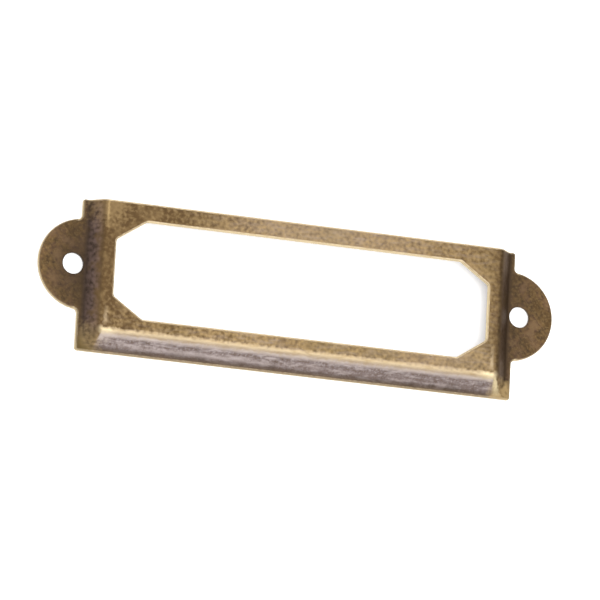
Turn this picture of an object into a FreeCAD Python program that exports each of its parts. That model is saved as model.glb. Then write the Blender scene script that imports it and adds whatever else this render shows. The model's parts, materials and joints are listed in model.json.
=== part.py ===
import FreeCAD, Part
import math
import os

# Label frame, one pressed sheet: a raised panel with an eight-sided window, walls that slope
# down to the mounting plane at both ends and along the lower edge, and an open upper edge
# where the card slides in behind the panel. All sizes are millimetres.
# X runs along the frame, Y up its face, Z out of its front. The back lies on Z = 0.

# Plan sizes
overall_length = 76.0
body_height = 21.3
ear_reach = 5.95
ear_radius = 6.4
ear_drop = 9.2
ear_root_radius = 0.6
foot_corner_radius = 0.35

# Screw holes
hole_diameter = 3.0
hole_setback = 5.0

# Pressed section
sheet = 0.6
panel_height = 2.4
end_wall_angle = 47.0
lip_angle = 37.0
crest_radius = 1.3
foot_radius = 0.5
end_foot_width = 0.7
lip_toe_width = 0.4

# Window, set in from the panel's edges by its rails
top_rail = 2.62
lower_rail = 1.55
end_rail = 1.4
window_chamfer_x = 4.3
window_chamfer_y = 2.9
window_corner_radius = 0.7

# Easing of the cut rims, and how far the cutting shapes stand past the sheet
edge_break = 0.12
cut_margin = 1.0


def wall_run(angle):
    # Plan width of a wall, from the panel's level face to the level flange
    bend = math.radians(angle)
    bends = crest_radius + foot_radius
    slope_drop = panel_height - sheet - bends * (1 - math.cos(bend))
    return bends * math.sin(bend) + slope_drop / math.tan(bend)


# Sizes that follow from those above
body_end = overall_length / 2 - ear_reach
top_y = body_height / 2
ear_y = top_y - ear_drop
ear_x = overall_length / 2 - ear_radius
hole_x = overall_length / 2 - hole_setback
panel_end = body_end - end_foot_width - wall_run(end_wall_angle)
panel_lip = -top_y + lip_toe_width + wall_run(lip_angle)
window_end = panel_end - end_rail
window_top = top_y - top_rail
window_bottom = panel_lip + lower_rail
block_end = overall_length / 2 + cut_margin
block_top = top_y + cut_margin
block_depth = panel_height + 2 * cut_margin
tolerance = 1e-4


def vec(x, y, z):
    return FreeCAD.Vector(x, y, z)


def arc_edge(centre_x, centre_z, radius, start, stop):
    # Arc in the XZ plane, its angles measured from +X towards +Z
    points = []
    for angle in (start, (start + stop) / 2, stop):
        points.append(vec(centre_x + radius * math.cos(angle), 0, centre_z + radius * math.sin(angle)))
    return Part.Arc(*points).toShape()


def under_surface(start, edge, stop, angle, depth):
    # Face in the XZ plane under one surface of the sheet, depth below its front: level from
    # start to edge, then a bend, a slope and a second bend down to the flange, level to stop
    bend = math.radians(angle)
    upright = math.pi / 2
    foot_x = edge + wall_run(angle)
    crest = arc_edge(edge, panel_height - crest_radius, crest_radius - depth, upright, upright - bend)
    foot = arc_edge(foot_x, sheet + foot_radius, foot_radius + depth, -upright - bend, -upright)
    corners = [foot.lastVertex().Point, vec(stop, 0, sheet - depth), vec(stop, 0, -cut_margin),
               vec(start, 0, -cut_margin), vec(start, 0, panel_height - depth), crest.firstVertex().Point]
    slope = Part.makeLine(crest.lastVertex().Point, foot.firstVertex().Point)
    return Part.Face(Part.Wire([crest, slope, foot] + Part.makePolygon(corners).Edges))


def pressed_block(depth):
    # Everything under one surface of the pressed sheet: where the end walls meet the lip,
    # the lower of the two surfaces holds, so they meet in a mitre
    end = under_surface(0, panel_end, block_end, end_wall_angle, depth)
    end.translate(vec(0, -block_top, 0))
    end = end.extrude(vec(0, 2 * block_top, 0))
    ends = end.fuse(end.mirror(vec(0, 0, 0), vec(1, 0, 0)))
    lip = under_surface(-block_top, -panel_lip, block_top, lip_angle, depth)
    lip.rotate(vec(0, 0, 0), vec(0, 0, 1), -90)
    lip.translate(vec(-block_end, 0, 0))
    lip = lip.extrude(vec(2 * block_end, 0, 0))
    return ends.common(lip).removeSplitter()


def uprights_at(solid, plan):
    # The solid's straight edges along Z that stand on one of the plan's points
    found = []
    for edge in solid.Edges:
        first = edge.firstVertex().Point
        last = edge.lastVertex().Point
        upright = math.hypot(first.x - last.x, first.y - last.y) < tolerance
        if upright and any(math.hypot(first.x - x, first.y - y) < tolerance for x, y in plan):
            found.append(edge)
    return found


def round_pair(radius, x):
    # Two round blocks on the ears' centre line, one at each end of the frame
    return [Part.makeCylinder(radius, block_depth, vec(side * x, ear_y, -cut_margin)) for side in (-1, 1)]


def outline_block():
    # Plan outline: the body and its two ears, with rounded roots and corners
    block = Part.makeBox(2 * body_end, body_height, block_depth, vec(-body_end, -top_y, -cut_margin))
    block = block.fuse(round_pair(ear_radius, ear_x)).removeSplitter()
    root = math.sqrt(ear_radius ** 2 - (body_end - ear_x) ** 2)
    roots = [(side * body_end, ear_y + way * root) for side in (-1, 1) for way in (-1, 1)]
    corners = [(side * body_end, way * top_y) for side in (-1, 1) for way in (-1, 1)]
    block = block.makeFillet(ear_root_radius, uprights_at(block, roots))
    return block.makeFillet(foot_corner_radius, uprights_at(block, corners))


def window_block():
    # Eight-sided opening with rounded corners
    cut_x = window_end - window_chamfer_x
    cut_top = window_top - window_chamfer_y
    cut_bottom = window_bottom + window_chamfer_y
    right = [(cut_x, window_bottom), (window_end, cut_bottom), (window_end, cut_top), (cut_x, window_top)]
    plan = right + [(-x, y) for x, y in reversed(right)]
    ring = [vec(x, y, -cut_margin) for x, y in plan]
    block = Part.Face(Part.makePolygon(ring + ring[:1])).extrude(vec(0, 0, block_depth))
    return block.makeFillet(window_corner_radius, uprights_at(block, plan))


def front_rims(solid, cutters):
    # Edges that the window and the holes leave on the front face
    rims = []
    for edge in solid.Edges:
        level = edge.BoundBox.ZMin
        flat = edge.BoundBox.ZLength < tolerance
        on_front = abs(level - panel_height) < tolerance or abs(level - sheet) < tolerance
        middle = Part.Vertex(edge.valueAt((edge.FirstParameter + edge.LastParameter) / 2))
        gap = min(cutter.Shells[0].distToShape(middle)[0] for cutter in cutters)
        if flat and on_front and gap < tolerance:
            rims.append(edge)
    return rims


os.makedirs("parts", exist_ok=True)
cutters = [window_block()] + round_pair(hole_diameter / 2, hole_x)
pressed = pressed_block(0).cut(pressed_block(sheet))
frame = pressed.common(outline_block()).cut(cutters).removeSplitter().Solids[0]
frame = frame.makeFillet(edge_break, front_rims(frame, cutters)).Solids[0]
frame.exportStep("parts/label_frame.step")

box = frame.BoundBox
print("valid", frame.isValid(), "volume", round(frame.Volume, 2), "faces", len(frame.Faces))
print("box", [round(v, 3) for v in (box.XMin, box.XMax, box.YMin, box.YMax, box.ZMin, box.ZMax)])
print("panel end", round(panel_end, 3), "panel lip", round(panel_lip, 3), "window", round(window_end, 3),
      round(window_bottom, 3), round(window_top, 3))
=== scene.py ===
import json
import math

import bmesh
import bpy
from mathutils import Matrix, Vector


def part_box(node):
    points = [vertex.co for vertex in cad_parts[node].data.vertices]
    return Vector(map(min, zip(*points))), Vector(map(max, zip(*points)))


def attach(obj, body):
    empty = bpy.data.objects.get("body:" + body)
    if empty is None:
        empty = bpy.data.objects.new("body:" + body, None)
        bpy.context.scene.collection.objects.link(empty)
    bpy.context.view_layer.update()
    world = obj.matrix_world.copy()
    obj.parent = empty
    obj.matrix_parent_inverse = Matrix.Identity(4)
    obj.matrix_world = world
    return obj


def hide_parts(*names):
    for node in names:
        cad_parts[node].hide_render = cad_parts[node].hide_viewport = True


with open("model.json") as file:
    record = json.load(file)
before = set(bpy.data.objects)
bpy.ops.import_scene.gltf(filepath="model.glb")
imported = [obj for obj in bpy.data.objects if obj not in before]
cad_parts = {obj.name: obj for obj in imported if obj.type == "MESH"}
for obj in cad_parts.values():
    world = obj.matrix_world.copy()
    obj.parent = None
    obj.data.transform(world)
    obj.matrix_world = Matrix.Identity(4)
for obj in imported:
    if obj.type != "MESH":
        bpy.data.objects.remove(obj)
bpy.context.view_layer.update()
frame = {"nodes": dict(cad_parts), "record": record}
print("frame loaded:", sorted(frame["nodes"]))

mm = 0.001


# The frame's own sizes, in millimetres; length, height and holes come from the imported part
def readSizes():
    low, high = (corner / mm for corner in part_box("label_frame"))
    holes = [m for m in frame["record"]["mounts"] if m["name"] == "screw_holes"][0]
    return {
        "tip": high.x,
        "top": high.y,
        "panelHeight": high.z,
        "earY": holes["pos_m"][1] / mm,
        "holeX": holes["dims"]["spacing_x_mm"] / 2,
        "holeRadius": holes["dims"]["hole_r_mm"],
    }


# What a maker would change on the pressed sheet
pressing = {
    "sheet": 0.6,
    "earReach": 5.95,
    "earRadius": 6.4,
    "earRoot": 0.6,
    "footCorner": 0.35,
    "endAngle": math.radians(47),
    "lipAngle": math.radians(37),
    "crestRadius": 1.3,
    "footRadius": 0.5,
    "endFoot": 0.7,
    "lipToe": 0.4,
    "mitreRound": (0.12, 0.9),  # corner rounding at crest and foot, as a share of a wall's width
    "settleSteps": 6,  # rounds in which that rounding settles
    "crestLead": (1.0, 0.66, 0.33),  # lines inside the crest, as shares of the rounding there
    "topRail": 2.62,
    "lowerRail": 1.55,
    "endRail": 1.4,
    "chamferX": 4.3,
    "chamferY": 2.9,
    "windowCorner": 0.7,
    "frontRim": 0.22,  # rounding of the cut edges, front and back
    "backRim": 0.07,
    "holeRim": 0.35,  # share of the front rounding that the screw holes get
    "holeMargin": 0.357,  # how far out from a hole that holds
    "rimSteps": 4,
    "wearBand": 0.34,  # how far in from a cut edge its rubbed band reaches
    "cornerSteps": 6,
    "rootSteps": 8,
    "earSteps": 72,
    "holeSteps": 64,
    "gridStep": 0.7,
    "bendSteps": 10,
    "slopeSteps": 10,
    "slopeProbe": 0.01,  # half the stretch over which the surface's slope is read
    "farIn": -1.0,  # furthest in on the panel that is told apart, in wall widths
    "farOut": 4.0,  # and furthest out, on the ears and the back
    "penGap": 1e-5,  # points this near are one, on the drawn lines and between the two halves
    "halfGap": 1e-4,
    "scribeGap": 1e-6,  # a point this near lies on a scribed line
    "sliver": 1e-4,  # edges this short are dropped
}
pressing.update(readSizes())


def wallRun(angle):
    p = pressing
    bends = p["crestRadius"] + p["footRadius"]
    drop = p["panelHeight"] - p["sheet"] - bends * (1 - math.cos(angle))
    return bends * math.sin(angle) + drop / math.tan(angle)


def followOn():
    p = pressing
    p["endRun"] = wallRun(p["endAngle"])
    p["lipRun"] = wallRun(p["lipAngle"])
    p["bodyEnd"] = p["tip"] - p["earReach"]
    p["earX"] = p["tip"] - p["earRadius"]
    p["panelEnd"] = p["bodyEnd"] - p["endFoot"] - p["endRun"]
    p["panelLip"] = -p["top"] + p["lipToe"] + p["lipRun"]
    p["windowEnd"] = p["panelEnd"] - p["endRail"]
    p["windowTop"] = p["top"] - p["topRail"]
    p["windowBottom"] = p["panelLip"] + p["lowerRail"]


followOn()


# A pen that draws an outline as wire: straight runs and arcs
def penStart(bm, x, y):
    return bmesh.ops.create_vert(bm, co=(x, y, 0))["vert"][0]


def penLine(bm, pen, x, y):
    new = bmesh.ops.extrude_vert_indiv(bm, verts=[pen])["verts"][0]
    bmesh.ops.translate(bm, vec=Vector((x, y, 0)) - new.co, verts=[new])
    return new


def penArc(bm, pen, centreX, centreY, turn, steps):
    swung = bmesh.ops.spin(
        bm, geom=[pen], cent=(centreX, centreY, 0), axis=(0, 0, 1), angle=turn, steps=steps)
    return [v for v in swung["geom_last"] if isinstance(v, bmesh.types.BMVert)][0]


def drawOutline(bm):
    p = pressing
    end, top, corner = p["bodyEnd"], p["top"], p["footCorner"]
    root, quarter = p["earRoot"], math.pi / 2
    across = end + root - p["earX"]  # from the ear's centre to its root's centre
    up = math.sqrt((p["earRadius"] + root) ** 2 - across ** 2)
    swing = math.atan2(up, across)
    pen = penStart(bm, 0, top)
    pen = penLine(bm, pen, end - corner, top)
    pen = penArc(bm, pen, end - corner, top - corner, -quarter, p["cornerSteps"])
    pen = penLine(bm, pen, end, p["earY"] + up)
    pen = penArc(bm, pen, end + root, p["earY"] + up, swing, p["rootSteps"])
    pen = penArc(bm, pen, p["earX"], p["earY"], -2 * swing, p["earSteps"])
    pen = penArc(bm, pen, end + root, p["earY"] - up, swing, p["rootSteps"])
    pen = penLine(bm, pen, end, -top + corner)
    pen = penArc(bm, pen, end - corner, -top + corner, -quarter, p["cornerSteps"])
    penLine(bm, pen, 0, -top)


def drawWindow(bm):
    p = pressing
    flat = p["windowEnd"] - p["chamferX"]
    low, high = p["windowBottom"], p["windowTop"]
    lean = math.atan2(p["chamferY"], p["chamferX"])
    turns = [lean, math.pi / 2 - lean, math.pi / 2 - lean, lean]
    corners = [(flat, low), (p["windowEnd"], low + p["chamferY"]),
               (p["windowEnd"], high - p["chamferY"]), (flat, high)]
    pen = penStart(bm, 0, low)
    heading = 0.0
    for (x, y), turn in zip(corners, turns):
        setback = p["windowCorner"] * math.tan(turn / 2)
        ahead = Vector((math.cos(heading), math.sin(heading)))
        start = Vector((x, y)) - ahead * setback
        centre = start + Vector((-ahead.y, ahead.x)) * p["windowCorner"]
        pen = penLine(bm, pen, start.x, start.y)
        pen = penArc(bm, pen, centre.x, centre.y, turn, p["cornerSteps"])
        heading += turn
    penLine(bm, pen, 0, high)


def cutBlank(bm):
    p = pressing
    drawOutline(bm)
    drawWindow(bm)
    holePlace = Matrix.Translation((p["holeX"], p["earY"], 0))
    bmesh.ops.create_circle(bm, segments=p["holeSteps"], radius=p["holeRadius"], matrix=holePlace)
    bmesh.ops.remove_doubles(bm, verts=bm.verts, dist=p["penGap"])
    wire = bm.verts[:] + bm.edges[:]
    bmesh.ops.mirror(bm, geom=wire, axis="X", merge_dist=p["halfGap"])
    bmesh.ops.triangle_fill(bm, edges=bm.edges[:], use_beauty=True, normal=(0, 0, 1))


# Nested insets leave loops beside every cut edge, to round it and to carry its wear
def ringRims(bm, dropLayer, edgeLayer):
    p = pressing
    rim, steps = p["frontRim"], p["rimSteps"]
    for vert in bm.verts:
        vert[dropLayer] = 1.0
        vert[edgeLayer] = 0.0
    rings = []
    for step in range(1, steps + 1):
        swing = math.pi / 2 * step / steps
        rings.append((rim * (1 - math.cos(swing)), 1 - math.sin(swing)))
    rings.append((p["wearBand"], 0.0))
    inner = bm.faces[:]
    reached = 0.0
    for distance, drop in rings:
        bmesh.ops.inset_region(
            bm, faces=inner, thickness=distance - reached, use_boundary=True, use_even_offset=True)
        for vert in {v for f in inner for v in f.verts}:
            vert[dropLayer] = drop
            vert[edgeLayer] = distance / p["wearBand"]
        reached = distance
    for vert in bm.verts:
        away = math.hypot(abs(vert.co.x) - p["holeX"], vert.co.y - p["earY"])
        if away < p["holeRadius"] + p["holeMargin"]:
            vert[dropLayer] *= p["holeRim"]
            vert[edgeLayer] = 1.0


# Where a wall needs lines across it, out from the panel: in its two bends and along its slope
def sectionStops(run, angle):
    p = pressing
    crest = p["crestRadius"] * math.sin(angle)
    foot = run - p["footRadius"] * math.sin(angle)
    stops = [-p["mitreRound"][0] * run * share for share in p["crestLead"]]
    for step in range(p["bendSteps"] + 1):
        swing = angle * step / p["bendSteps"]
        stops.append(p["crestRadius"] * math.sin(swing))
        stops.append(run - p["footRadius"] * math.sin(swing))
    for step in range(1, p["slopeSteps"]):
        stops.append(crest + (foot - crest) * step / p["slopeSteps"])
    return stops


def scribe(bm, place, way):
    everything = bm.verts[:] + bm.edges[:] + bm.faces[:]
    gap = pressing["scribeGap"]
    bmesh.ops.bisect_plane(bm, geom=everything, dist=gap, plane_co=place, plane_no=way)


def scribeLines(bm):
    p = pressing
    for stop in sectionStops(p["endRun"], p["endAngle"]):
        for side in (-1, 1):
            scribe(bm, (side * (p["panelEnd"] + stop), 0, 0), (1, 0, 0))
    for stop in sectionStops(p["lipRun"], p["lipAngle"]):
        scribe(bm, (0, p["panelLip"] - stop, 0), (0, 1, 0))
    columns = int(2 * p["tip"] / p["gridStep"])
    for column in range(1, columns):
        scribe(bm, (-p["tip"] + 2 * p["tip"] * column / columns, 0, 0), (1, 0, 0))
    rows = int(2 * p["top"] / p["gridStep"])
    for row in range(1, rows):
        scribe(bm, (0, -p["top"] + 2 * p["top"] * row / rows, 0), (0, 1, 0))
    bmesh.ops.dissolve_degenerate(bm, dist=p["sliver"], edges=bm.edges[:])


# Height of one surface of the sheet, depth below its front, at a distance out from the panel
def sectionHeight(out, run, angle, depth):
    p = pressing
    crest, foot = p["crestRadius"] - depth, p["footRadius"] + depth
    if out <= 0:
        return p["panelHeight"] - depth
    if out >= run:
        return p["sheet"] - depth
    if out < crest * math.sin(angle):
        return p["panelHeight"] - p["crestRadius"] + math.sqrt(crest ** 2 - out ** 2)
    if out > run - foot * math.sin(angle):
        return p["sheet"] + p["footRadius"] - math.sqrt(foot ** 2 - (run - out) ** 2)
    start = crest * math.sin(angle)
    fall = (out - start) * math.tan(angle)
    return p["panelHeight"] - p["crestRadius"] + crest * math.cos(angle) - fall


# Where a point stands on the walls: 0 at the panel's edge, 1 at the foot, and which wall it is;
# the corner between two walls is rounded more the further down it is
def wallPlace(x, y):
    p = pressing
    end = (abs(x) - p["panelEnd"]) / p["endRun"]
    lip = (p["panelLip"] - y) / p["lipRun"]
    out = max(end, lip)
    topRound, footRound = p["mitreRound"]
    for settle in range(p["settleSteps"]):
        turn = topRound + (footRound - topRound) * min(max(out, 0.0), 1.0)
        spread = abs(end - lip)
        if spread >= turn:
            return max(end, lip), float(end > lip)
        out = (end + lip) / 2 + turn - math.sqrt(2 * turn ** 2 - spread ** 2) / 2
    return out, (end - lip) / turn / 2 + 0.5


# Height of one surface at a point, eased from the lip's section to the end wall's at a corner
def surfaceHeight(x, y, depth):
    p = pressing
    out, share = wallPlace(x, y)
    end = sectionHeight(out * p["endRun"], p["endRun"], p["endAngle"], depth)
    lip = sectionHeight(out * p["lipRun"], p["lipRun"], p["lipAngle"], depth)
    return lip + (end - lip) * share * share * (3 - 2 * share)


def surfacePoint(x, y, depth):
    probe = pressing["slopeProbe"]
    slopeX = surfaceHeight(x + probe, y, depth) - surfaceHeight(x - probe, y, depth)
    slopeY = surfaceHeight(x, y + probe, depth) - surfaceHeight(x, y - probe, depth)
    normal = Vector((-slopeX, -slopeY, 2 * probe)).normalized()
    return Vector((x, y, surfaceHeight(x, y, depth))), normal


# The flat blank becomes a sheet with a front and a back, and both take their height
def pressSheet(bm, dropLayer, bendLayer, lipLayer):
    p = pressing
    raised = bmesh.ops.extrude_face_region(bm, geom=bm.faces[:], use_keep_orig=True)
    front = {v for v in raised["geom"] if isinstance(v, bmesh.types.BMVert)}
    for vert in bm.verts:
        x, y = vert.co.x, vert.co.y
        if vert in front:
            place, normal = surfacePoint(x, y, 0)
            vert.co = place - normal * p["frontRim"] * vert[dropLayer]
            out, share = wallPlace(x, y)
            vert[bendLayer] = min(max(out, p["farIn"]), p["farOut"])
            vert[lipLayer] = 1 - share
        else:
            place, normal = surfacePoint(x, y, p["sheet"])
            vert.co = place + normal * p["backRim"] * vert[dropLayer]
            vert[bendLayer] = p["farOut"]
    bmesh.ops.recalc_face_normals(bm, faces=bm.faces[:])


def makeLabelFrame():
    bm = bmesh.new()
    dropLayer = bm.verts.layers.float.new("rimDrop")
    edgeLayer = bm.verts.layers.float.new("fromEdge")
    bendLayer = bm.verts.layers.float.new("wallPlace")
    lipLayer = bm.verts.layers.float.new("lipSide")
    cutBlank(bm)
    print("blank cut:", len(bm.verts), "corners")
    ringRims(bm, dropLayer, edgeLayer)
    scribeLines(bm)
    pressSheet(bm, dropLayer, bendLayer, lipLayer)
    bmesh.ops.scale(bm, vec=(mm, mm, mm), verts=bm.verts)
    for face in bm.faces:
        face.smooth = True
    mesh = bpy.data.meshes.new("labelFrame")
    bm.to_mesh(mesh)
    bm.free()
    piece = bpy.data.objects.new("pressedLabelFrame", mesh)
    bpy.context.collection.objects.link(piece)
    print("sheet pressed:", len(mesh.polygons), "faces")
    return piece


# An sRGB hex colour, turned to linear
def linear(hexColour):
    parts = [int(hexColour[i:i + 2], 16) / 255 for i in (1, 3, 5)]
    parts = [c / 12.92 if c <= 0.04045 else ((c + 0.055) / 1.055) ** 2.4 for c in parts]
    return (*parts, 1.0)


# Adds a node: lower-case names are its settings, others its sockets, set to a value or linked
def addNode(tree, kind, settings):
    node = tree.nodes.new(kind)
    for name, value in settings.items():
        if isinstance(value, bpy.types.NodeSocket):
            tree.links.new(value, node.inputs[name])
        elif isinstance(name, str) and name.islower():
            setattr(node, name, value)
        else:
            node.inputs[name].default_value = value
    return node


# A colour Mix node's sockets, which share their names with its other kinds
mixFactor, mixFirst, mixSecond, mixResult = 0, 6, 7, 2

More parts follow.
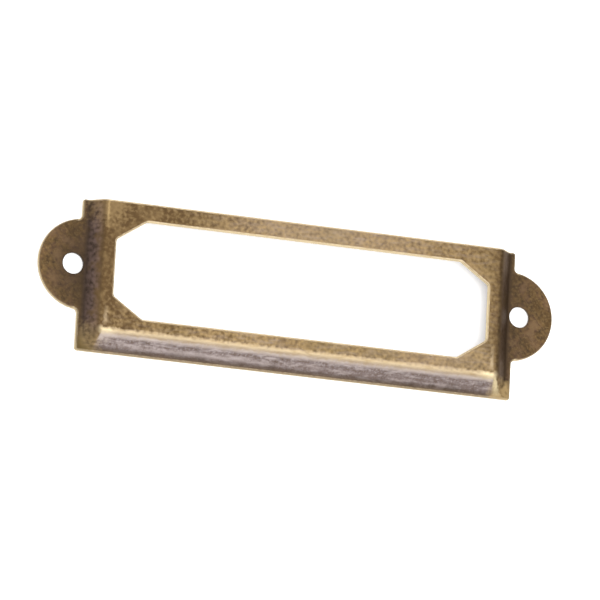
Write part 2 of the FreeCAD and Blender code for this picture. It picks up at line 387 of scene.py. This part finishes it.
bronze = {
    "metallic": 1.0,
    "colours": {
        "gold": "#98805a",
        "brown": "#54412a",
        "blush": "#958474",
        "olive": "#665833",
        "slate": "#8a7f7d",
        "frost": "#b2a6a2",
        "plum": "#665750",
        "mauve": "#7d6860",
        # dark blackening, also laid as painted shade in the foot's bend and at the left ear's root
        "sootAndShade": "#3a2f26",
        "umber": "#725a3a",
        # pale bare metal, also laid as painted highlights on crests and cut edges
        "wearAndHighlight": "#c0ac8c",
        "pale": "#b8aaa0",
        "bright": "#dccba4",
        "tan": "#a48c63",
        "rust": "#6f5443",
    },
    "attributes": ("wallPlace", "lipSide", "fromEdge"),
    "patterns": {  # millimetres along and across, degrees turned, detail
        "cloud": (9.0, 9.0, 0, 2.0),
        "blotch": (1.9, 1.9, 0, 3.0),
        "grain": (0.5, 0.5, 0, 3.0),
        "speck": (0.25, 0.25, 0, 1.0),  # the plating's own grain is finer: this coarse, it shows
        "streak": (1.8, 0.45, 0, 2.0),  # rubbing marks run along the frame
        "scratch": (3.2, 0.26, -52, 3.0),
    },
    "middleGrain": 0.5,
    "patches": {  # centre and reach in millimetres
        "leftCorner": ((-30.0, 7.0, 2.4), 25.0),
        "rightCorner": ((27.0, 9.0, 2.4), 15.0),
        "upperRail": ((2.0, 12.0, 2.4), 21.0),
        "lowerRail": ((20.0, -6.5, 2.4), 12.0),
        "leftLip": ((-14.0, -9.4, 1.1), 16.0),
        "leftTop": ((-28.5, 10.2, 2.4), 3.6),
        "leftKnuckle": ((-28.6, -7.8, 2.3), 3.6),
        "rightKnuckle": ((28.8, -7.8, 2.3), 4.4),
        "leftHeel": ((-31.2, -9.4, 1.0), 3.0),
        "rightHeel": ((30.7, -9.7, 0.8), 2.4),
        "leftEarRoot": ((-31.8, 1.0, 0.6), 6.0),
        "rightWall": ((30.4, 0.5, 1.5), 13.0),
    },
    # Shares from 0 to 1 of the frame's own places: what each is measured by, how ragged the grain
    # makes it, where it starts and where it is full, and the shares that it lies within. Below 0,
    # the raggedness of a share that falls off keeps it to the high grain, as rubbing does
    "shares": {
        # Panel, walls and ears
        "pastCrest": ("wallPlace", 0.0, 0.12, 0.36, ()),
        "pastFoot": ("wallPlace", 0.0, 0.90, 1.10, ()),
        "onLip": ("lipSide", 0.0, 0.84, 0.96, ()),
        "offLip": ("lipSide", 0.0, 1.00, 0.00, ()),
        "upperWall": ("wallPlace", 0.0, 0.60, 0.20, ()),
        "lowerWall": ("wallPlace", 0.0, 0.35, 1.00, ()),
        "nearHole": ("wallPlace", 0.0, 3.40, 1.00, ()),
        "endRail": ("wallPlace", 0.0, -0.70, 0.10, ("offLip",)),
        # The panel darker towards its left and right corners, and lighter along its upper rail
        "tarnish": ("leftCorner", 0.7, 1.00, 0.35, ()),
        "darkerRightCorner": ("rightCorner", 0.7, 1.00, 0.25, ()),
        "lighterUpperRail": ("upperRail", 0.9, 1.00, 0.30, ()),
        # The foot's bend, darkened as painted shade, and the bands along the lip
        "footRise": ("wallPlace", 0.0, 0.83, 0.94, ()),
        "footBend": ("wallPlace", 0.0, 1.18, 1.00, ("footRise",)),
        # The crest's pale band: worn bare metal with a painted highlight on it
        "crestRise": ("wallPlace", 0.2, -0.02, 0.15, ("lipSide",)),
        "lipCrestWearAndHighlight": ("wallPlace", 0.2, 0.38, 0.18, ("crestRise",)),
        "crestBreaks": ("streak", 0.0, 0.46, 0.32, ("lipCrestWearAndHighlight",)),
        # A second, narrower painted highlight just under the crest
        "slopeRise": ("wallPlace", 0.1, 0.26, 0.34, ("onLip",)),
        "slopeTop": ("wallPlace", 0.1, 0.48, 0.38, ("slopeRise",)),
        "lipBandRise": ("wallPlace", 0.2, 0.60, 0.72, ("onLip",)),
        "lipBandFall": ("wallPlace", 0.2, 0.86, 0.76, ("lipBandRise",)),
        "lipBand": ("leftLip", -1.0, 1.00, 0.40, ("lipBandFall",)),
        # Crests of the end walls, worn near the corners and given a painted highlight there
        "onFront": ("wallPlace", 0.0, 2.00, 1.60, ()),
        # Lighter at the panel's top left
        "leftTopLighter": ("leftTop", -2.2, 1.00, 0.40, ("onFront",)),
        "endRise": ("wallPlace", 0.3, -0.33, -0.21, ("offLip",)),
        "endCrest": ("wallPlace", 0.3, -0.02, -0.14, ("endRise",)),
        "bendRise": ("wallPlace", 0.2, -0.10, -0.02, ("offLip",)),
        "bendFall": ("wallPlace", 0.2, 0.10, 0.02, ("bendRise",)),
        "leftTopCrest": ("leftTop", 0.0, 1.00, 0.50, ("bendFall",)),
        "leftKnuckleRubAndHighlight": ("leftKnuckle", -0.4, 1.00, 0.15, ("endCrest",)),
        "rightKnuckleRubAndHighlight": ("rightKnuckle", -0.4, 1.00, 0.15, ("endCrest",)),
        # The two lower corners: the lip crest's painted highlight runs round them, the corner ridge is
        # worn bare with a painted highlight, and the heels are rubbed, with a painted reflection
        "onWall": ("wallPlace", 0.0, 1.25, 0.80, ()),
        "leftCrestEnd": ("leftKnuckle", -0.2, 0.60, 0.20, ("lipCrestWearAndHighlight",)),
        "rightCrestEnd": ("rightKnuckle", -0.2, 0.60, 0.20, ("lipCrestWearAndHighlight",)),
        "leftHeelRubAndReflection": ("leftHeel", -1.2, 1.00, 0.35, ("onWall", "pastCrest")),
        "leftHeelStain": ("streak", 0.4, 0.56, 0.36, ("leftHeelRubAndReflection",)),
        "leftLipStart": ("leftKnuckle", -0.6, 0.65, 0.30, ("onLip", "pastCrest")),
        "rightHeelRubAndReflection": ("rightHeel", -1.0, 1.00, 0.40, ("pastCrest", "onFront")),
        "rightHeelStain": ("grain", 0.0, 0.50, 0.32, ("rightHeelRubAndReflection",)),
        "ridgeRise": ("lipSide", 0.3, 0.54, 0.66, ("pastCrest",)),
        "ridgeFall": ("lipSide", 0.3, 0.98, 0.82, ("ridgeRise",)),
        "rightSide": ("rightHeel", 0.0, 1.30, 1.10, ()),
        "cornerRidge": ("wallPlace", 0.0, 1.15, 0.70, ("ridgeFall", "rightSide")),
        "cornerRise": ("lipSide", 0.0, 0.02, 0.30, ("pastFoot",)),
        "cornerFoot": ("lipSide", 0.0, 1.00, 0.90, ("cornerRise",)),
        # Cut edges, worn bare and given a painted highlight, less bare on the toe and the end feet
        "toe": ("lipSide", 0.0, 0.00, 1.00, ("pastFoot",)),
        "offToe": ("toe", 0.0, 1.60, 0.00, ()),
        "endFoot": ("wallPlace", 0.0, 1.50, 1.30, ("pastFoot", "offLip")),
        "offEndFoot": ("endFoot", 0.0, 1.60, 0.00, ()),
        "edgeBand": ("fromEdge", 0.0, 1.00, 0.70, ("offToe", "offEndFoot")),
        "onEar": ("wallPlace", 0.0, 1.50, 1.70, ()),
        "offEar": ("wallPlace", 0.0, 1.70, 1.50, ()),
        "cutEdge": ("fromEdge", 0.9, 0.90, 0.40, ("edgeBand", "offEar")),
        "rimShine": ("fromEdge", 0.4, 0.60, 0.15, ("edgeBand", "offToe", "offEar")),
        "earEdge": ("fromEdge", 0.5, 0.60, 0.15, ("onEar",)),
        "cutSide": ("fromEdge", 0.0, 0.20, 0.03, ("offToe",)),
    },
    # Each layer: as its mark goes from one value to the other, the colour rises to this share
    "panel": ("brown", [
        ("grain", 0.26, 0.72, 1.0, "gold"),
        ("speck", 0.40, 0.26, 0.25, "wearAndHighlight"),
        ("streak", 0.46, 0.70, 0.45, "blush"),
        ("blotch", 0.46, 0.30, 0.40, "brown"),
        ("cloud", 0.50, 0.70, 0.28, "olive"),
        ("lighterUpperRail", 0.0, 1.0, 0.26, "blush"),
        ("lowerRail", 1.0, 0.3, 0.22, "blush"),
        ("darkerRightCorner", 0.0, 1.0, 0.30, "brown"),
        ("tarnish", 0.0, 1.0, 1.0, "brown"),
        ("endRail", 0.0, 1.0, 0.80, "brown"),
        ("blotch", 0.52, 0.72, 0.30, "gold"),
        ("grain", 0.48, 0.74, 0.32, "gold"),
        ("grain", 0.44, 0.24, 0.34, "sootAndShade"),
    ]),
    "lip": ("plum", [
        ("grain", 0.28, 0.62, 1.0, "slate"),
        ("streak", 0.50, 0.72, 0.80, "frost"),
        ("streak", 0.50, 0.30, 0.70, "plum"),
        ("speck", 0.56, 0.74, 0.60, "frost"),
        ("lowerWall", 0.0, 1.0, 0.50, "plum"),
        ("blotch", 0.44, 0.28, 0.40, "sootAndShade"),
    ]),
    "end": ("sootAndShade", [
        ("grain", 0.26, 0.60, 1.0, "mauve"),
        ("blotch", 0.48, 0.66, 0.70, "umber"),
        ("upperWall", 0.0, 1.0, 0.70, "umber"),
        ("lowerWall", 0.0, 1.0, 0.70, "sootAndShade"),
        ("rightWall", 1.0, 0.75, 0.70, "brown"),
        ("lipSide", 0.05, 0.70, 0.45, "gold"),
    ]),
    "ear": ("sootAndShade", [
        ("grain", 0.24, 0.66, 1.0, "umber"),
        ("blotch", 0.45, 0.68, 0.60, "rust"),
        ("blotch", 0.46, 0.30, 0.70, "brown"),
        ("blotch", 0.56, 0.74, 0.30, "gold"),
        ("speck", 0.54, 0.76, 0.40, "gold"),
        ("scratch", 0.54, 0.76, 0.20, "gold"),
        ("nearHole", 0.0, 1.0, 0.50, "sootAndShade"),
        # Painted shade on the left ear next to the wall's root
        ("leftEarRoot", 1.0, 0.3, 0.55, "sootAndShade"),
    ]),
    # Over all of them, wear and painted light: a share, how much of the colour it shows at most, and the
    # colour
    "wearAndPaintedLight": [
        # Painted shade in the foot's bend
        ("footBend", 0.55, "sootAndShade"),
        # Painted highlight just under the crest
        ("slopeTop", 0.60, "pale"),
        # The crest worn bare, with a painted highlight
        ("lipCrestWearAndHighlight", 0.80, "wearAndHighlight"),
        ("crestBreaks", 0.50, "gold"),
        ("lipBand", 0.40, "frost"),
        ("leftTopLighter", 0.35, "gold"),
        # The worn top left end crest, with a painted highlight
        ("leftTopCrest", 0.60, "tan"),
        ("cornerFoot", 0.45, "olive"),
        # Heels rubbed bare, with a painted reflection, brighter at the right
        ("leftHeelRubAndReflection", 0.70, "tan"),
        ("leftHeelStain", 0.55, "sootAndShade"),
        ("rightHeelRubAndReflection", 0.75, "tan"),
        ("rightHeelStain", 0.50, "brown"),
        ("leftLipStart", 0.55, "pale"),
        # Worn end crests near the lower corners, with a painted highlight
        ("leftKnuckleRubAndHighlight", 0.65, "wearAndHighlight"),
        ("rightKnuckleRubAndHighlight", 0.65, "wearAndHighlight"),
        # Painted highlights where the crest turns the lower corners, and on the worn corner ridge
        ("leftCrestEnd", 0.60, "bright"),
        ("rightCrestEnd", 0.80, "bright"),
        ("cornerRidge", 0.85, "bright"),
        # Cut edges worn bare, with painted highlights on their rims and sides
        ("cutEdge", 0.85, "wearAndHighlight"),
        ("rimShine", 0.50, "bright"),
        ("earEdge", 0.70, "wearAndHighlight"),
        ("cutSide", 0.50, "bright"),
    ],
    "sheen": (0.25, 0.75, 0.32, 0.48),  # from this speck to that one, from this roughness to that
    "dulling": 0.16,  # added to the roughness where the blackening stayed
    "pitDepth": 0.02,  # millimetres
    "streakRelief": 0.8,  # depth of the rubbing marks against the pits
}


# What the patterns and places are measured by
def findMarks(tree):
    b = bronze
    coords = addNode(tree, "ShaderNodeTexCoord", {}).outputs["Object"]
    marks = {}
    for name in b["attributes"]:
        marks[name] = addNode(tree, "ShaderNodeAttribute", {"attribute_name": name}).outputs["Fac"]
    for name, (along, across, turned, detail) in b["patterns"].items():
        laid = addNode(tree, "ShaderNodeMapping", {
            "vector_type": "TEXTURE", "Vector": coords, "Rotation": (0, 0, math.radians(turned)),
            "Scale": (along * mm, across * mm, across * mm)})
        noise = addNode(tree, "ShaderNodeTexNoise", {
            "Vector": laid.outputs["Vector"], "Scale": 1.0, "Detail": detail})
        marks[name] = noise.outputs["Fac"]
    for name, (centre, reach) in b["patches"].items():
        away = addNode(tree, "ShaderNodeVectorMath", {
            "operation": "DISTANCE", 0: coords, 1: [value * mm for value in centre]})
        share = addNode(tree, "ShaderNodeMath", {
            "operation": "DIVIDE", 0: away.outputs["Value"], 1: reach * mm})
        marks[name] = share.outputs["Value"]
    return marks


# Adds each share to the marks, so that later ones can lie within it
def findShares(tree, marks):
    evenGrain = addNode(tree, "ShaderNodeMath", {
        "operation": "SUBTRACT", 0: marks["grain"], 1: bronze["middleGrain"]}).outputs["Value"]
    for name, (measure, ragged, start, full, within) in bronze["shares"].items():
        place = marks[measure]
        if ragged:
            place = addNode(tree, "ShaderNodeMath", {
                "operation": "MULTIPLY_ADD", 0: evenGrain, 1: ragged, 2: place}).outputs["Value"]
        share = addNode(tree, "ShaderNodeMapRange", {
            "Value": place, "From Min": start, "From Max": full}).outputs["Result"]
        for other in within:
            share = addNode(tree, "ShaderNodeMath", {
                "operation": "MULTIPLY", 0: share, 1: marks[other]}).outputs["Value"]
        marks[name] = share


# Lays colours over one that is named, or over another node's
def layColours(tree, marks, under, layers):
    colours = {name: linear(value) for name, value in bronze["colours"].items()}
    under = colours.get(under, under)
    for mark, low, high, weight, colour in layers:
        shown = addNode(tree, "ShaderNodeMapRange", {
            "Value": marks[mark], "From Min": low, "From Max": high, "To Max": weight})
        over = addNode(tree, "ShaderNodeMix", {
            "data_type": "RGBA", mixFactor: shown.outputs["Result"],
            mixFirst: under, mixSecond: colours[colour]})
        under = over.outputs[mixResult]
    return under


# Antique bronze plating on pressed steel, blackened and rubbed back along its length: a mottled
# gold panel, a greyer lip, dark ends and ears, and bare pale metal on the lip's crest, the cut
# edges and the lower corners, with painted highlights over that bare metal and painted shade in
# the foot's bend and at the left ear's root
def antiqueBronze():
    b = bronze
    material = bpy.data.materials.new("antiqueBronzePlateRubbed")
    material.use_nodes = True
    tree = material.node_tree
    shader = tree.nodes["Principled BSDF"]
    shader.inputs["Metallic"].default_value = b["metallic"]
    marks = findMarks(tree)
    findShares(tree, marks)
    zones = {name: layColours(tree, marks, *b[name]) for name in ("panel", "lip", "end", "ear")}

    # The zones follow one another outwards: panel, wall, ear
    wall = addNode(tree, "ShaderNodeMix", {
        "data_type": "RGBA", mixFactor: marks["onLip"], mixFirst: zones["end"], mixSecond: zones["lip"]})
    upper = addNode(tree, "ShaderNodeMix", {
        "data_type": "RGBA", mixFactor: marks["pastCrest"],
        mixFirst: zones["panel"], mixSecond: wall.outputs[mixResult]})
    whole = addNode(tree, "ShaderNodeMix", {
        "data_type": "RGBA", mixFactor: marks["pastFoot"],
        mixFirst: upper.outputs[mixResult], mixSecond: zones["ear"]})
    wearAndPaintedLight = [(mark, 0.0, 1.0, weight, colour) for mark, weight, colour in b["wearAndPaintedLight"]]
    colour = layColours(tree, marks, whole.outputs[mixResult], wearAndPaintedLight)
    tree.links.new(colour, shader.inputs["Base Color"])

    # Satin sheen, uneven from speck to speck and duller where the blackening stayed
    low, high, smooth, rough = b["sheen"]
    sheen = addNode(tree, "ShaderNodeMapRange", {
        "Value": marks["speck"], "From Min": low, "From Max": high, "To Min": smooth, "To Max": rough})
    dull = addNode(tree, "ShaderNodeMapRange", {
        "Value": marks["onLip"], "To Min": b["dulling"], "To Max": 0.0})
    dull = addNode(tree, "ShaderNodeMath", {
        "operation": "MULTIPLY_ADD", 0: dull.outputs["Result"], 1: marks["pastCrest"],
        2: sheen.outputs["Result"]})
    tree.links.new(dull.outputs["Value"], shader.inputs["Roughness"])

    # Fine pits and rubbing marks
    relief = addNode(tree, "ShaderNodeMath", {
        "operation": "MULTIPLY_ADD", 0: marks["streak"], 1: b["streakRelief"], 2: marks["grain"]})
    pits = addNode(tree, "ShaderNodeBump", {
        "Height": relief.outputs["Value"], "Distance": b["pitDepth"] * mm})
    tree.links.new(pits.outputs["Normal"], shader.inputs["Normal"])
    return material


piece = makeLabelFrame()
piece.data.materials.append(antiqueBronze())
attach(piece, "root")
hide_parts("label_frame")
print("material made")

# Pale floor, soft light and the camera, in metres
studio = {
    "floorHalf": 3.0,
    "floorDrop": 0.00002,  # keeps the floor from lying in the plane of the frame's back
    "floorColour": "#f8f8f8",
    "floorRoughness": 0.9,
    "floorSpecular": 0.0,
    "floorGlow": 0.40,  # light from below, as a lit table gives
    "cameraPlace": (-0.2266, -0.1522, 0.6810),
    "cameraAim": (0.0, 0.0, 0.001),
    "cameraUp": (-0.128, 0.967, 0.222),
    "lens": 315.0,
    "panels": {  # place, side length, watts
        "frontPanel": ((0.18, -0.30, 0.55), 0.42, 0.62),
        "lowFrontPanel": ((0.12, -0.62, 0.30), 0.45, 0.75),
        "overheadPanel": ((0.12, 0.10, 0.90), 1.00, 4.2),
        "backPanel": ((0.25, 0.70, 0.45), 0.30, 0.9),
        "leftPanel": ((-0.75, 0.15, 0.22), 0.40, 0.7),
        "rightPanel": ((0.60, -0.42, 0.16), 0.30, 0.3),
    },
    "zenith": "#eeeeee",
    "horizon": "#b3b3b5",
    "skyStrength": 1.0,
}


# Matt white paint on a table lit from below: an even pale ground, with no gloss and a faint shadow
def mattWhitePaint():
    s = studio
    paint = bpy.data.materials.new("mattWhitePaint")
    paint.use_nodes = True
    shader = paint.node_tree.nodes["Principled BSDF"]
    shader.inputs["Base Color"].default_value = linear(s["floorColour"])
    shader.inputs["Roughness"].default_value = s["floorRoughness"]
    shader.inputs["Specular IOR Level"].default_value = s["floorSpecular"]
    shader.inputs["Emission Color"].default_value = linear(s["floorColour"])
    shader.inputs["Emission Strength"].default_value = s["floorGlow"]
    return paint


def makeFloor():
    s = studio
    bm = bmesh.new()
    bmesh.ops.create_grid(bm, x_segments=1, y_segments=1, size=s["floorHalf"])
    mesh = bpy.data.meshes.new("floor")
    bm.to_mesh(mesh)
    bm.free()
    floor = bpy.data.objects.new("floor", mesh)
    floor.location.z = -s["floorDrop"]
    bpy.context.collection.objects.link(floor)
    floor.data.materials.append(mattWhitePaint())


# Light from all round, brighter overhead
def makeSky():
    s = studio
    world = bpy.data.worlds.new("softSky")
    world.use_nodes = True
    sky = world.node_tree
    view = addNode(sky, "ShaderNodeTexCoord", {}).outputs["Generated"]
    height = addNode(sky, "ShaderNodeSeparateXYZ", {"Vector": view}).outputs["Z"]
    glow = addNode(sky, "ShaderNodeMix", {
        "data_type": "RGBA", mixFactor: height,
        mixFirst: linear(s["horizon"]), mixSecond: linear(s["zenith"])})
    sky.links.new(glow.outputs[mixResult], sky.nodes["Background"].inputs["Color"])
    sky.nodes["Background"].inputs["Strength"].default_value = s["skyStrength"]
    bpy.context.scene.world = world


# Soft panels, all turned towards the frame
def hangPanels():
    for name, (place, size, watts) in studio["panels"].items():
        light = bpy.data.lights.new(name, "AREA")
        light.size = size
        light.energy = watts
        panel = bpy.data.objects.new(name, light)
        panel.location = place
        panel.rotation_euler = Vector(place).to_track_quat("Z", "Y").to_euler()
        bpy.context.collection.objects.link(panel)


def placeCamera():
    s = studio
    lensData = bpy.data.cameras.new("photoCamera")
    lensData.lens = s["lens"]
    camera = bpy.data.objects.new("photoCamera", lensData)
    back = (Vector(s["cameraPlace"]) - Vector(s["cameraAim"])).normalized()
    side = Vector(s["cameraUp"]).cross(back).normalized()
    turned = Matrix((side, back.cross(side), back)).transposed()
    camera.matrix_world = Matrix.Translation(s["cameraPlace"]) @ turned.to_4x4()
    bpy.context.collection.objects.link(camera)
    bpy.context.scene.camera = camera
    bpy.context.scene.view_settings.view_transform = "Standard"


makeFloor()
makeSky()
hangPanels()
placeCamera()
print("studio made")
